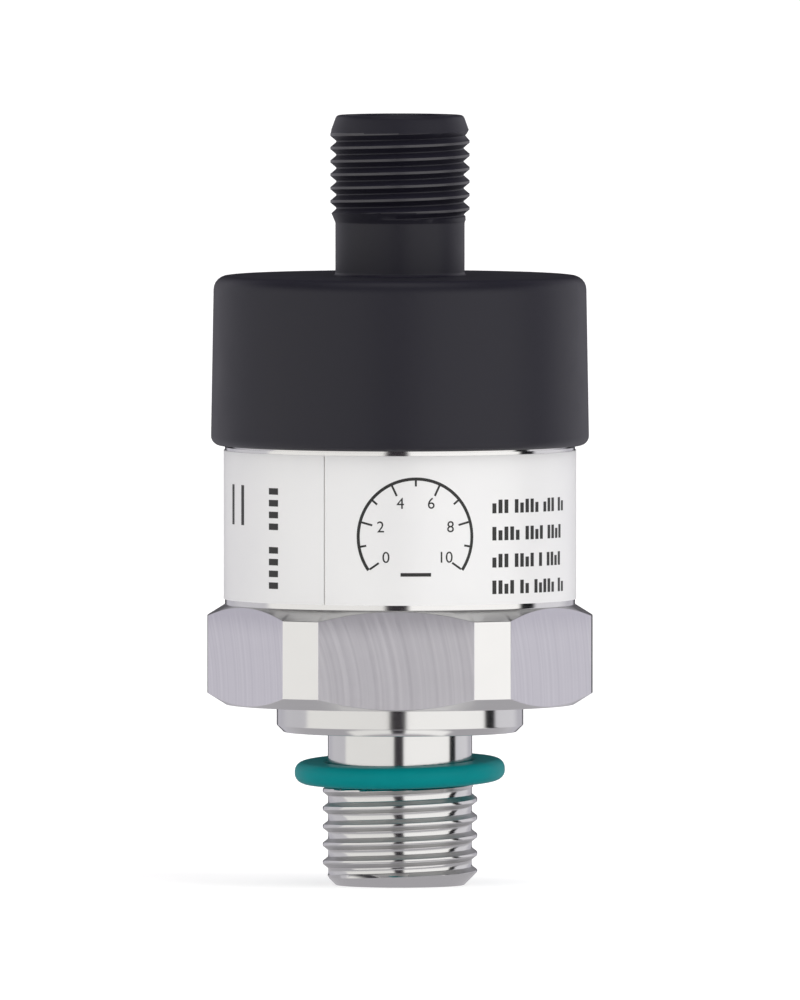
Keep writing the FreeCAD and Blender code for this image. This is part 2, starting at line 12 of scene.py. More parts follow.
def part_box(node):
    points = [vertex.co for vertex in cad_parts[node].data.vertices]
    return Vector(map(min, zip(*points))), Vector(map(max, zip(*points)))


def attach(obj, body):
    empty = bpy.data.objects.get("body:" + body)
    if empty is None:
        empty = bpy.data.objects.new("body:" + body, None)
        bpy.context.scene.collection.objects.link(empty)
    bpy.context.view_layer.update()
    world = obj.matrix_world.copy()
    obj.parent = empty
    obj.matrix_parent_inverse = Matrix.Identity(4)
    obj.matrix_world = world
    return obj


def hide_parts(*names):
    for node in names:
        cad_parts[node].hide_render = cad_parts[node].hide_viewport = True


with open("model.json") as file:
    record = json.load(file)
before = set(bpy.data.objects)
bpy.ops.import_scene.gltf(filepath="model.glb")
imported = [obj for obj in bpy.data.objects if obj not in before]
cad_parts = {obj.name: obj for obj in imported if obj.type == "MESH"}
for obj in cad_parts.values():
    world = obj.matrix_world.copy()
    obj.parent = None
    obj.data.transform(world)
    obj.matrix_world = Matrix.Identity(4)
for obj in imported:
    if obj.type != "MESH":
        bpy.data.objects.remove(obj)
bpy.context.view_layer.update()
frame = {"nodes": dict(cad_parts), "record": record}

# Shapes turned about the axis start at +X, so the front, -Y, comes after three quarters of a turn.
MM = 0.001
AXIS = (0, 0, 1)
ROUND_STEPS = 192
FRONT_TURN = 0.75
ARC_STEP = math.radians(15)
JOIN_GAP = 0.05
MERGE = 0.0015
SHARP_ANGLE = math.radians(32)
FLAT_MAP = "flat"

# Places in the body's and the cap's lists of materials
PORT_FINISH = 1
MILLED_FINISH = 2
SLEEVE_FINISH = 3
CONE_FINISH = 4
FLANK_FINISH = 5
CREST_FINISH = 1

# Process thread. Half its form goes from a crest to a root, as (share of the pitch, share of the depth).
PORT_THREAD_R = 6.5785
PORT_THREAD_DEPTH = 0.46
PORT_THREAD_PITCH = 1.532
PORT_CREST_Z = 2.29
PORT_THREAD_TOP = 8.7
PORT_CHAMFER = 1.1
PORT_RUNOUT = 0.43
FLANK_FROM = 0.05
FLANK_TO = 0.93
PORT_HALF = [
    (0.0, 0.0), (0.075, 0.0), (0.095, 0.03), (0.115, 0.1), (0.29, 0.86), (0.32, 0.95), (0.355, 1.0),
]
PORT_BORE_R = 3.0
BORE_CHAMFER = 0.4

# Neck, sealing flange and hexagon
NECK_R = 6.1485
NECK_FILLET = 0.2
EDGE_FILLET = 0.1
FLANGE_R = 10.5
FLANGE_CHAMFER = 0.6
FLANGE_FOOT_Z = 13.05
HEX_FOOT_Z = 15.41
HEX_TOP_Z = 23.93
HEX_FOOT_R = 14.85
BAR_R = 16.4
FLAT_R = 15.0
FLAT_EDGE = 0.05
HEX_CHAMFER = math.radians(32)
CUTTER_X = 22.0
CUTTER_DROP = 4.0
FLAT_MIDDLE_Z = (HEX_FOOT_Z + HEX_TOP_Z) / 2
# The flats' painted shade starts here and deepens up to the hexagon's top.
FLAT_PAINTED_SHADE_FROM_Z = FLAT_MIDDLE_Z + 1.5

# Sleeve and spigot, with the grooves for the cap's snap bead and for its seal
SLEEVE_R = 14.9
SLEEVE_TOP_Z = 37.3
SPIGOT_R = 14.3
SPIGOT_TOP_Z = 44.0
SPIGOT_CHAMFER = 0.4
SNAP_GROOVE_R = 13.9
SNAP_GROOVE_FOOT_Z = 38.6
SNAP_GROOVE_TOP_Z = 39.8
CAP_SEAL_GROOVE_R = 13.2
CAP_SEAL_GROOVE_FOOT_Z = 41.0
CAP_SEAL_GROOVE_TOP_Z = 43.0

# Cavity in the body, from its mouth down to the pressure port
CAVITY_R = 12.4
CAVITY_FLOOR_Z = 27.05
NUT_BORE_R = 10.3
CELL_TOP_Z = 22.05
CELL_BORE_R = 9.2
CELL_SEAT_Z = 17.45
CELL_GROOVE_R = 7.9
CELL_GROOVE_INNER_R = 5.6
CELL_GROOVE_Z = 16.15
PORT_BORE_TOP_Z = 17.25

# Cap
CAP_FOOT_R = 16.1
CAP_SHOULDER_R = 15.848
CAP_FOOT_Z = 37.45
CAP_TOP_Z = 51.9
CAP_FOOT_ROUND = 0.8
CAP_SHOULDER_ROUND = 1.2
SKIRT_R = 14.4
SKIRT_TOP_Z = 49.7
SKIRT_EDGE = 0.05
BEAD_R = 13.95
BEAD_FOOT_Z = 38.65
BEAD_FULL_Z = 39.1
BEAD_TOP_Z = 39.75
RIB_COUNT = 8
RIB_R = 13.75
RIB_DEPTH = 1.7
RIB_T = 1.2

# Plug
PLUG_NECK_R = 5.5
PLUG_NECK_FILLET = 0.3
PLUG_NECK_TOP_Z = 56.4
PLUG_THREAD_R = 5.925
PLUG_THREAD_DEPTH = 0.5
PLUG_THREAD_PITCH = 1.136
PLUG_CREST_Z = 57.33
PLUG_THREAD_FOOT_Z = 57.4
PLUG_LEAD_Z = 64.1
PLUG_HALF = [
    (0.0, 0.0), (0.085, 0.0), (0.105, 0.04), (0.125, 0.12), (0.42, 0.9), (0.45, 0.97), (0.48, 1.0),
]
PLUG_FADES = [(PLUG_NECK_TOP_Z, PLUG_NECK_TOP_Z + 0.7), (PLUG_LEAD_Z + 0.3, PLUG_LEAD_Z - 0.5)]
CREST_BAND = 0.03
PLUG_TOP_R = 5.397
PLUG_TOP_Z = 65.55
PLUG_TOP_ROUND = 0.4
LEAD_SLOPE = math.tan(math.radians(20))
PLUG_RIM_Z = 65.0
PLUG_RIM_R = PLUG_TOP_R + (PLUG_TOP_Z - PLUG_RIM_Z) * LEAD_SLOPE
SOCKET_R = 4.2
SOCKET_CHAMFER = 0.3
SOCKET_EDGE = 0.08
KEY_SIZE = (0.8, 0.5, 8.1)
KEY_PLACE = (0, 4.0, 60.6)
KEY_EDGE = 0.08
PIN_COUNT = 4
PIN_STEPS = 32
PIN_EDGE = 0.05
PIN_TIP_L = 0.5
PIN_SHOULDER_ROUND = 0.2
PIN_TIP_ROUND = 0.12

# Seal ring
RING_HOLE_R = 6.3085
RING_R = 8.9485
RING_T = 1.8
RING_HOLE_ROUND = 0.3
RING_ROUND = 0.8
RING_FOOT_Z = 8.836
RING_TILT_FRONT = math.radians(2.3)
RING_TILT_SIDE = math.radians(-1)

# Label
LABEL_R = 15.01
LABEL_T = 0.1
LABEL_FOOT_Z = 24.38
LABEL_TOP_Z = 37.05
SEAM_ANGLE = math.radians(-24)
SEAM_W = 0.16

# Print. Its places are (distance round the sleeve from the front, height).
PRINT_RISE = 0.012
PRINT_SINK = 0.02
PRINT_STRIP = 0.45
DIAL_X = 1.66
DIAL_Z = 30.2
DIAL_R = 5.05
DIAL_SWEEP = math.radians(250)
DIAL_LINE = 0.26
DIAL_STEPS = 72
MARK_COUNT = 11
MARK_W = 0.17
LONG_MARK = 0.95
SHORT_MARK = 0.5
NUMBER_SET_IN = 1.95
NUMBER_SIZE = 1.35
UNIT_DROP = 3.2
UNIT_W = 2.6
UNIT_H = 0.3
WORDS_X = 8.55
WORD_GAP = 0.5
WORD_ROWS = [(32.35, (3, 5, 3, 2)), (30.05, (5, 4, 4)), (27.75, (3, 4, 1, 4)), (25.5, (4, 2, 5, 2))]
LETTER_W = 0.4
LETTER_STEP = 0.62
LETTER_RISE = 0.35
TALL_LETTER = 1.15
SHORT_LETTER = 0.85
COLUMN_X = -12.2
COLUMN_Z = 25.9
COLUMN_COUNT = 9
COLUMN_GAP_AT = 4
COLUMN_STEP = 1.0
COLUMN_W = 1.1
COLUMN_H = 0.55
PAIR_X = -18.4
PAIR_Z = 32.6
PAIR_STEP = 2.0
PAIR_W = 0.5
PAIR_H = 3.4

# Camera, in metres
CAMERA_AZIMUTH = math.radians(1.2)
CAMERA_ELEVATION = math.radians(2.2)
CAMERA_DISTANCE = 3.0
CAMERA_LENS = 1269
CAMERA_SENSOR = 36
CAMERA_NEAR = 0.1
CAMERA_FAR = 20
AIM_Z = 0.03277

# Studio, in metres. The ring of panels is given by its directions from the camera's side, in degrees.
LEFT_SOFTBOX = (0.83, 0.82, 0.80, 1)
RIGHT_SOFTBOX = (0.98, 0.97, 0.955, 1)
LEFT_WALL = (0.56, 0.55, 0.58, 1)
RIGHT_WALL = (0.68, 0.67, 0.70, 1)
STUDIO_GREY = (0.46, 0.45, 0.49, 1)
SLOT_DARK = (0.035, 0.031, 0.036, 1)
STRIP_BLACK = (0.01, 0.01, 0.012, 1)
BACK_DARK = (0.045, 0.043, 0.05, 1)
STUDIO_RING = [
    (-180, BACK_DARK), (-166, BACK_DARK), (-158, STUDIO_GREY), (-145, STUDIO_GREY), (-130, LEFT_WALL),
    (-99, LEFT_WALL), (-94, LEFT_SOFTBOX), (-11, LEFT_SOFTBOX), (-8, SLOT_DARK), (4, SLOT_DARK),
    (7, RIGHT_SOFTBOX), (84, RIGHT_SOFTBOX), (87, STRIP_BLACK), (97, STRIP_BLACK), (101, RIGHT_WALL),
    (130, RIGHT_WALL), (145, STUDIO_GREY), (158, STUDIO_GREY), (166, BACK_DARK), (180, BACK_DARK),
]

# SHINE_GAIN is the strength of what the steel mirrors, and LIGHT_GAIN the strength of what lights the part.
SHINE_GAIN = 1.24
LIGHT_GAIN = 1.42
CEILING_LAMP = (0.72, 0.71, 0.70, 1)
CEILING_FROM = 0.36
CEILING_FULL = 0.72
CEILING_LAMP_FROM = 0.9
CEILING_LAMP_FULL = 0.96

# The floor has the tone in itself, adds the glow for the camera, and is mirrored in the near colour,
# a painted shade round the part.
FLOOR_R = 5.0
FLOOR_STEPS = 96
FLOOR_ROUGHNESS = 0.9
FLOOR_TONE = 0.62
FLOOR_GLOW = 0.56
FLOOR_NEAR_PAINTED_SHADE = (0.41, 0.40, 0.42, 1)
FLOOR_NEAR_R = 0.015
FLOOR_OPEN_R = 0.045
# A patch of painted light close in front, seen only in the steel, lights the flange's chamfer.
FLOOR_FRONT_R = 0.0085
FLOOR_FRONT_END_R = 0.0125
FLOOR_FRONT_EDGE = 0.001
FLOOR_AHEAD_FROM = -0.45
FLOOR_AHEAD_FULL = -0.6

LAMP_SIZE = 1.2
LAMP_ENERGY = 6.0
LAMP_PLACE = Vector((0.7, -0.6, 1.3))
LAMP_AIM = Vector((0, 0, 0.03))


def corner(r, z, fillet=0.0):
    """A corner of an outline, with the radius of its rounding."""
    return Vector((r, 0, z)), fillet


def rounded(outline, closed):
    """The outline's points, with an arc at each corner that has a rounding."""
    points = []
    count = len(outline)
    for index, (here, fillet) in enumerate(outline):
        if not fillet:
            points.append(here)
            continue
        before = (outline[index - 1][0] - here).normalized()
        after = (outline[(index + 1) % count][0] - here).normalized()
        half = before.angle(after) / 2
        centre = here + (before + after).normalized() * fillet / math.sin(half)
        reach = fillet / math.tan(half)
        first = here + before * reach - centre
        last = here + after * reach - centre
        steps = max(2, math.ceil((math.pi - 2 * half) / ARC_STEP))
        for step in range(steps + 1):
            points.append(centre + first.slerp(last, step / steps).normalized() * fillet)
    return points + points[:1] if closed else points


def turned(outline, closed=True, steps=ROUND_STEPS):
    """An outline turned about the axis."""
    bm = bmesh.new()
    verts = [bm.verts.new(point) for point in rounded(outline, closed)]
    edges = [bm.edges.new(pair) for pair in zip(verts, verts[1:])]
    bmesh.ops.spin(
        bm, geom=verts + edges, cent=(0, 0, 0), axis=AXIS, angle=2 * math.pi, steps=steps, use_merge=True
    )
    bmesh.ops.remove_doubles(bm, verts=bm.verts, dist=MERGE)
    return bm


def below(outline, height):
    """The radius of a chain of (radius, height) points at that height."""
    for (low_r, low_z), (high_r, high_z) in zip(outline, outline[1:]):
        if height <= high_z:
            share = max(0.0, (height - low_z) / (high_z - low_z))
            return low_r + (high_r - low_r) * share
    return outline[-1][0]


def thread_tube(form, crest_r, pitch, crest_z, outline, fades):
    """A right-hand thread cut square at both ends.

    form holds (share of the pitch, depth) from crest to crest. crest_z is the height of a crest at the front.
    fades holds (height without thread, height with its full depth).
    """
    bottom = outline[0][1] + JOIN_GAP
    top = outline[-1][1] - JOIN_GAP
    start = crest_z - pitch * FRONT_TURN
    start -= pitch * (math.floor((start - bottom) / pitch) + 2)
    turns = math.ceil((top - start) / pitch) + 1
    bm = bmesh.new()
    verts = []
    for turn in range(turns):
        for share, depth in form[:-1]:
            verts.append(bm.verts.new((crest_r - depth, 0, start + (turn + share) * pitch)))
    edges = [bm.edges.new(pair) for pair in zip(verts, verts[1:])]
    bmesh.ops.spin(
        bm, geom=verts + edges, cent=(0, 0, 0), axis=AXIS, dvec=(0, 0, pitch / ROUND_STEPS),
        angle=2 * math.pi, steps=ROUND_STEPS, use_merge=False,
    )
    bmesh.ops.remove_doubles(bm, verts=bm.verts, dist=MERGE)
    for height, side in ((bottom, -1), (top, 1)):
        everything = bm.verts[:] + bm.edges[:] + bm.faces[:]
        bmesh.ops.bisect_plane(
            bm, geom=everything, dist=MERGE, plane_co=(0, 0, height), plane_no=(0, 0, side), clear_outer=True
        )
    for vert in bm.verts:
        shares = [(vert.co.z - plain) / (full - plain) for plain, full in fades]
        fade = max(0.0, min([1.0] + shares))
        radius = vert.co.xy.length
        wanted = crest_r - (crest_r - radius) * fade
        wanted = min(wanted, below(outline, vert.co.z))
        vert.co.xy *= wanted / radius
    return bm


def added(target, *others):
    """One bmesh that holds the first and the others."""
    for other in others:
        carrier = bpy.data.meshes.new("carrier")
        other.to_mesh(carrier)
        other.free()
        target.from_mesh(carrier)
        bpy.data.meshes.remove(carrier)
    return target


def bridge_at(bm, height):
    """Closes the narrow gap between two open rims that lie within a tenth of a millimetre of that height."""
    rim = [
        edge for edge in bm.edges
        if edge.is_boundary and all(abs(vert.co.z - height) < 2 * JOIN_GAP for vert in edge.verts)
    ]
    bmesh.ops.bridge_loops(bm, edges=rim)


def finish_mesh(bm, name, materials, replaced=()):
    """Makes the piece from its bmesh: in metres, shaded smooth up to the sharp edges, riding on the part."""
    bmesh.ops.recalc_face_normals(bm, faces=bm.faces)
    bmesh.ops.scale(bm, vec=(MM, MM, MM), verts=bm.verts)
    for face in bm.faces:
        face.smooth = True
    for edge in bm.edges:
        edge.smooth = len(edge.link_faces) != 2 or edge.calc_face_angle(0.0) < SHARP_ANGLE
    mesh = bpy.data.meshes.new(name)
    bm.to_mesh(mesh)
    bm.free()
    for material in materials:
        mesh.materials.append(material)
    piece = bpy.data.objects.new(name, mesh)
    bpy.context.scene.collection.objects.link(piece)
    weighted = piece.modifiers.new("even_shading", "WEIGHTED_NORMAL")
    weighted.keep_sharp = True
    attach(piece, "root")
    if replaced:
        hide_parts(*replaced)
    return piece


# Finishes

def put(tree, socket, value):
    """Gives a socket its value, or the socket that feeds it."""
    if isinstance(value, bpy.types.NodeSocket):
        tree.links.new(value, socket)
    else:
        socket.default_value = value


def node(tree, kind, inputs=None, **settings):
    """A shader node with its settings and its inputs, each a value or the socket that feeds it."""
    made = tree.nodes.new("ShaderNode" + kind)
    for key, value in settings.items():
        setattr(made, key, value)
    for key, value in (inputs or {}).items():
        put(tree, made.inputs[key], value)
    return made


def maths(tree, operation, first, second=0.0, third=0.0):
    """The result of one sum on sockets or numbers."""
    return node(tree, "Math", {0: first, 1: second, 2: third}, operation=operation).outputs[0]


def spread(tree, value, low, high):
    """A value from 0 to 1 spread over a range."""
    return maths(tree, "MULTIPLY_ADD", value, high - low, low)


def blend(tree, first, second, share):
    """The sum of two values: that share of the first, and the rest of the second."""
    return maths(tree, "MULTIPLY_ADD", first, share, maths(tree, "MULTIPLY", second, 1 - share))


def root_of_squares(tree, first, second):
    """The square root of the sum of two squares."""
    squares = [maths(tree, "MULTIPLY", side, side) for side in (first, second)]
    return maths(tree, "SQRT", maths(tree, "ADD", *squares))


def between(tree, value, low, high):
    """0 at the low value and before it, 1 at the high one and past it, and a smooth step in between."""
    return node(
        tree, "MapRange", {"Value": value, "From Min": low, "From Max": high}, interpolation_type="SMOOTHSTEP"
    ).outputs["Result"]


def mixed(tree, share, first, second):
    """A colour between two colours. The node's colours are its inputs 6 and 7 and its output 2."""
    return node(tree, "Mix", {"Factor": share, 6: first, 7: second}, data_type="RGBA").outputs[2]


def grey(value, warmth=0.0):
    """A neutral colour, a little warmer or cooler."""
    return (value * (1 + warmth), value, value * (1 - warmth), 1.0)


def place(tree):
    """The place on the part, in metres."""
    return node(tree, "TexCoord").outputs["Object"]


def grain(tree, where, size, detail=3.0, roughness=0.55):
    """Uneven noise from 0 to 1, with spots of about that size in millimetres."""
    return node(
        tree, "TexNoise",
        {"Vector": where, "Scale": 1 / (size * MM), "Detail": detail, "Roughness": roughness},
    ).outputs["Fac"]


def line_noise(tree, along, size, detail=2.0):
    """Noise from 0 to 1 along one measure, with bands of about that width in millimetres."""
    return node(
        tree, "TexNoise", {"W": along, "Scale": 1 / (size * MM), "Detail": detail}, noise_dimensions="1D"
    ).outputs["Fac"]


def lathe_lines(tree, where, pitch):
    """Fine rings about the axis, from 0 to 1, that a turning tool leaves."""
    parts = node(tree, "SeparateXYZ", {"Vector": where}).outputs
    return line_noise(tree, maths(tree, "ADD", parts[2], root_of_squares(tree, parts[0], parts[1])), pitch)


def bump(tree, height, depth):
    """A bump of that depth in millimetres."""
    return node(tree, "Bump", {"Height": height, "Distance": depth * MM, "Strength": 1.0}).outputs["Normal"]


def new_finish(name):
    """A material with an empty surface shader: (material, tree, shader)."""
    material = bpy.data.materials.new(name)
    material.use_nodes = True
    tree = material.node_tree
    return material, tree, tree.nodes["Principled BSDF"]


def feed(tree, shader, **sockets):
    """Links or sets the shader's sockets."""
    for key, value in sockets.items():
        put(tree, shader.inputs[key.replace("_", " ")], value)


def turned_steel(name, base, rough, line_depth):
    """Stainless steel off the lathe: fine rings, faint smears and small handling marks."""
    material, tree, shader = new_finish(name)
    where = place(tree)
    lines = lathe_lines(tree, where, pitch=0.06)
    smears = grain(tree, where, size=4.0)
    marks = grain(tree, where, size=0.35, detail=5.0, roughness=0.7)
    feed(
        tree, shader,
        Base_Color=mixed(tree, smears, grey(base * 0.97, 0.004), grey(base * 1.03, 0.006)),
        Metallic=1.0,
        Roughness=spread(tree, maths(tree, "MULTIPLY", smears, lines), *rough),
        Normal=bump(tree, blend(tree, lines, marks, 0.7), line_depth),
    )
    return material


def milled_steel():
    """The hexagon's flats: matt, with the face cutter's arcs from top to bottom, and painted shade that darkens
    them near the top.
    """
    material, tree, shader = new_finish("milled_flats")
    across = node(tree, "UVMap", uv_map=FLAT_MAP).outputs["UV"]
    parts = node(tree, "SeparateXYZ", {"Vector": across}).outputs
    side = maths(tree, "ADD", parts[0], CUTTER_X * MM)
    rise = maths(tree, "SUBTRACT", parts[1], (FLAT_MIDDLE_Z - CUTTER_DROP) * MM)
    reach = root_of_squares(tree, side, rise)
    fine = line_noise(tree, reach, size=0.11, detail=3.0)
    coarse = line_noise(tree, reach, size=0.42)
    streaks = blend(tree, coarse, grain(tree, place(tree), size=2.5), 0.8)
    # Painted shade: the flats are darkened towards the top.
    dark = between(tree, parts[1], FLAT_PAINTED_SHADE_FROM_Z * MM, HEX_TOP_Z * MM)
    tone = maths(tree, "MULTIPLY_ADD", dark, -0.6, streaks)
    feed(
        tree, shader,
        Base_Color=mixed(tree, tone, (0.60, 0.585, 0.64, 1), (0.80, 0.785, 0.83, 1)),
        Metallic=1.0,
        Roughness=spread(tree, tone, 0.34, 0.46),
        Normal=bump(tree, maths(tree, "MULTIPLY_ADD", coarse, 0.4, fine), depth=0.0035),
    )
    return material


def moulded_plastic(name, dark, light, rough, grain_size, grain_depth, sheen=0.5):
    """Moulded plastic with a fine matt grain and a faint unevenness of sheen."""
    material, tree, shader = new_finish(name)
    where = place(tree)
    clouds = grain(tree, where, size=3.0)
    fine = grain(tree, where, grain_size, detail=2.0)
    feed(
        tree, shader,
        Base_Color=mixed(tree, blend(tree, clouds, fine, 0.6), dark, light),
        Roughness=spread(tree, clouds, *rough),
        Specular_IOR_Level=sheen,
        Normal=bump(tree, fine, grain_depth),
    )
    return material


def rubber(name, dark, light):
    """Smooth moulded elastomer, with faint bloom."""
    material, tree, shader = new_finish(name)
    where = place(tree)
    bloom = grain(tree, where, size=1.8, detail=4.0)
    fine = grain(tree, where, size=0.12)
    feed(
        tree, shader,
        Base_Color=mixed(tree, bloom, dark, light),
        Roughness=spread(tree, bloom, 0.34, 0.5),
        Specular_IOR_Level=0.08,
        Normal=bump(tree, fine, depth=0.004),
    )
    return material


def foil():
    """The label's satin foil under a clear laminate."""
    material, tree, shader = new_finish("label_foil")
    where = place(tree)
    clouds = grain(tree, where, size=6.0)
    fine = grain(tree, where, size=0.15)
    feed(
        tree, shader,
        Base_Color=mixed(tree, clouds, (0.86, 0.86, 0.87, 1), (0.90, 0.90, 0.90, 1)),
        Metallic=0.12,
        Roughness=spread(tree, clouds, 0.36, 0.46),
        Normal=bump(tree, fine, depth=0.0015),
    )
    return material


def ink():
    """The label's dark print, slightly uneven."""
    material, tree, shader = new_finish("label_print")
    speckle = grain(tree, place(tree), size=0.2)
    feed(
        tree, shader,
        Base_Color=mixed(tree, speckle, grey(0.008), grey(0.022)),
        Roughness=spread(tree, speckle, 0.4, 0.55),
        Normal=bump(tree, speckle, depth=0.001),
    )
    return material


def plated_metal(name, dark, light):
    """Plated or rolled metal for contacts and springs."""
    material, tree, shader = new_finish(name)
    where = place(tree)
    clouds = grain(tree, where, size=0.8)
    lines = lathe_lines(tree, where, pitch=0.05)
    feed(
        tree, shader,
        Base_Color=mixed(tree, clouds, dark, light),
        Metallic=1.0,
        Roughness=spread(tree, lines, 0.16, 0.3),
        Normal=bump(tree, lines, depth=0.0008),
    )
    return material


def fired_ceramic():
    """Unglazed alumina with its fine grain."""
    material, tree, shader = new_finish("cell_ceramic")
    where = place(tree)
    clouds = grain(tree, where, size=1.5)
    fine = grain(tree, where, size=0.08)
    feed(
        tree, shader,
        Base_Color=mixed(tree, clouds, (0.84, 0.83, 0.78, 1), (0.9, 0.89, 0.85, 1)),
        Roughness=spread(tree, fine, 0.5, 0.7),
        Normal=bump(tree, fine, depth=0.003),
    )
    return material


def laminate():
    """Green solder resist over the weave of a glass laminate."""
    material, tree, shader = new_finish("board_laminate")
    where = place(tree)
    weave = node(
        tree, "TexWave", {"Vector": where, "Scale": 1 / (2.5 * MM), "Distortion": 0.4},
        bands_direction="DIAGONAL",
    ).outputs["Fac"]
    clouds = grain(tree, where, size=2.0)
    pattern = maths(tree, "MULTIPLY", weave, clouds)
    feed(
        tree, shader,
        Base_Color=mixed(tree, pattern, (0.012, 0.13, 0.05, 1), (0.03, 0.22, 0.1, 1)),
        Roughness=spread(tree, clouds, 0.28, 0.42),
        Normal=bump(tree, weave, depth=0.004),
    )
    return material


# The part's own pieces

def thread_form(half, depth):
    """A thread over one pitch, from crest to crest, as (share of the pitch, depth)."""
    down = [(share, part * depth) for share, part in half]
    return down + [(0.5, depth)] + [(1 - share, deep) for share, deep in reversed(down)]


def cut_flats(bm):
    """Cuts the six flats off the round bar and eases their edges.

    Their faces get the milled finish and its map, which holds (distance across the flat, height) in metres.
    """
    across = bm.loops.layers.uv.new(FLAT_MAP)
    for index in range(6):
        angle = math.radians(60 * index - 90)
        normal = Vector((math.cos(angle), math.sin(angle), 0))
        everything = bm.verts[:] + bm.edges[:] + bm.faces[:]
        cut = bmesh.ops.bisect_plane(
            bm, geom=everything, dist=MERGE, plane_co=normal * FLAT_R, plane_no=normal, clear_outer=True
        )["geom_cut"]
        rim = [item for item in cut if isinstance(item, bmesh.types.BMEdge)]
        for face in bmesh.ops.edgeloop_fill(bm, edges=rim)["faces"]:
            face.material_index = MILLED_FINISH
        bmesh.ops.bevel(
            bm, geom=rim, offset=FLAT_EDGE, segments=2, profile=0.5, affect="EDGES", material=-1,
            clamp_overlap=True,
        )
    for face in bm.faces:
        if face.material_index == MILLED_FINISH:
            middle = face.calc_center_median()
            sideways = Vector((-middle.y, middle.x, 0)).normalized()
            for loop in face.loops:
                loop[across].uv = (loop.vert.co.dot(sideways) * MM, loop.vert.co.z * MM)


def make_body(materials):
    """The steel body: process thread, neck, sealing flange, hexagon, sleeve, spigot and cavity."""
    outline = [
        corner(NECK_R, PORT_THREAD_TOP + JOIN_GAP),
        corner(NECK_R, FLANGE_FOOT_Z, NECK_FILLET),
        corner(FLANGE_R - FLANGE_CHAMFER, FLANGE_FOOT_Z, EDGE_FILLET),
        corner(FLANGE_R, FLANGE_FOOT_Z + FLANGE_CHAMFER, EDGE_FILLET),
        corner(FLANGE_R, HEX_FOOT_Z),
        corner(HEX_FOOT_R, HEX_FOOT_Z),
        corner(BAR_R, HEX_FOOT_Z + (BAR_R - HEX_FOOT_R) * math.tan(HEX_CHAMFER), EDGE_FILLET),
        corner(BAR_R, HEX_TOP_Z - (BAR_R - SLEEVE_R) * math.tan(HEX_CHAMFER), EDGE_FILLET),
        corner(SLEEVE_R, HEX_TOP_Z, EDGE_FILLET),
        corner(SLEEVE_R, SLEEVE_TOP_Z),
        corner(SPIGOT_R, SLEEVE_TOP_Z),
        corner(SPIGOT_R, SNAP_GROOVE_FOOT_Z), corner(SNAP_GROOVE_R, SNAP_GROOVE_FOOT_Z),
        corner(SNAP_GROOVE_R, SNAP_GROOVE_TOP_Z), corner(SPIGOT_R, SNAP_GROOVE_TOP_Z),
        corner(SPIGOT_R, CAP_SEAL_GROOVE_FOOT_Z), corner(CAP_SEAL_GROOVE_R, CAP_SEAL_GROOVE_FOOT_Z),
        corner(CAP_SEAL_GROOVE_R, CAP_SEAL_GROOVE_TOP_Z), corner(SPIGOT_R, CAP_SEAL_GROOVE_TOP_Z),
        corner(SPIGOT_R, SPIGOT_TOP_Z - SPIGOT_CHAMFER), corner(SPIGOT_R - SPIGOT_CHAMFER, SPIGOT_TOP_Z),
        corner(CAVITY_R, SPIGOT_TOP_Z), corner(CAVITY_R, CAVITY_FLOOR_Z),
        corner(NUT_BORE_R, CAVITY_FLOOR_Z), corner(NUT_BORE_R, CELL_TOP_Z),
        corner(CELL_BORE_R, CELL_TOP_Z), corner(CELL_BORE_R, CELL_SEAT_Z),
        corner(CELL_GROOVE_R, CELL_SEAT_Z), corner(CELL_GROOVE_R, CELL_GROOVE_Z),
        corner(CELL_GROOVE_INNER_R, CELL_GROOVE_Z), corner(CELL_GROOVE_INNER_R, PORT_BORE_TOP_Z),
        corner(PORT_BORE_R, PORT_BORE_TOP_Z), corner(PORT_BORE_R, BORE_CHAMFER),
        corner(PORT_BORE_R + BORE_CHAMFER, 0), corner(PORT_THREAD_R - PORT_CHAMFER, 0),
    ]
    thread_end_z = PORT_THREAD_TOP - PORT_RUNOUT
    trim = [
        (PORT_THREAD_R - PORT_CHAMFER, 0), (PORT_THREAD_R, PORT_CHAMFER),
        (PORT_THREAD_R, thread_end_z), (NECK_R, PORT_THREAD_TOP),
    ]
    shell = turned(outline, closed=False)
    thread = thread_tube(
        thread_form(PORT_HALF, PORT_THREAD_DEPTH), PORT_THREAD_R, PORT_THREAD_PITCH, PORT_CREST_Z, trim, []
    )
    body = added(shell, thread)
    bridge_at(body, 0)
    bridge_at(body, PORT_THREAD_TOP)
    cut_flats(body)
    body.normal_update()
    for face in body.faces:
        middle = face.calc_center_median()
        deep = (PORT_THREAD_R - middle.xy.length) / PORT_THREAD_DEPTH
        on_cone = middle.xy.length > HEX_FOOT_R and abs(face.normal.z) > 0.5
        # Flank faces take the finish whose darker colour is painted shade.
        if PORT_CHAMFER < middle.z < thread_end_z and FLANK_FROM < deep < FLANK_TO:
            face.material_index = FLANK_FINISH
        elif middle.z < HEX_FOOT_Z:
            face.material_index = PORT_FINISH
        elif middle.z > HEX_TOP_Z:
            face.material_index = SLEEVE_FINISH
        elif on_cone and face.material_index != MILLED_FINISH:
            face.material_index = CONE_FINISH
    return finish_mesh(body, "body_steel", materials, ["body"])


def rib(angle):
    """One stop rib inside the cap's skirt."""
    bm = bmesh.new()
    turn = Matrix.Rotation(angle, 4, "Z")
    middle = Matrix.Translation((RIB_R, 0, (SPIGOT_TOP_Z + SKIRT_TOP_Z) / 2))
    size = Matrix.Diagonal((RIB_DEPTH, RIB_T, SKIRT_TOP_Z - SPIGOT_TOP_Z, 1))
    bmesh.ops.create_cube(bm, size=1, matrix=turn @ middle @ size)
    return bm


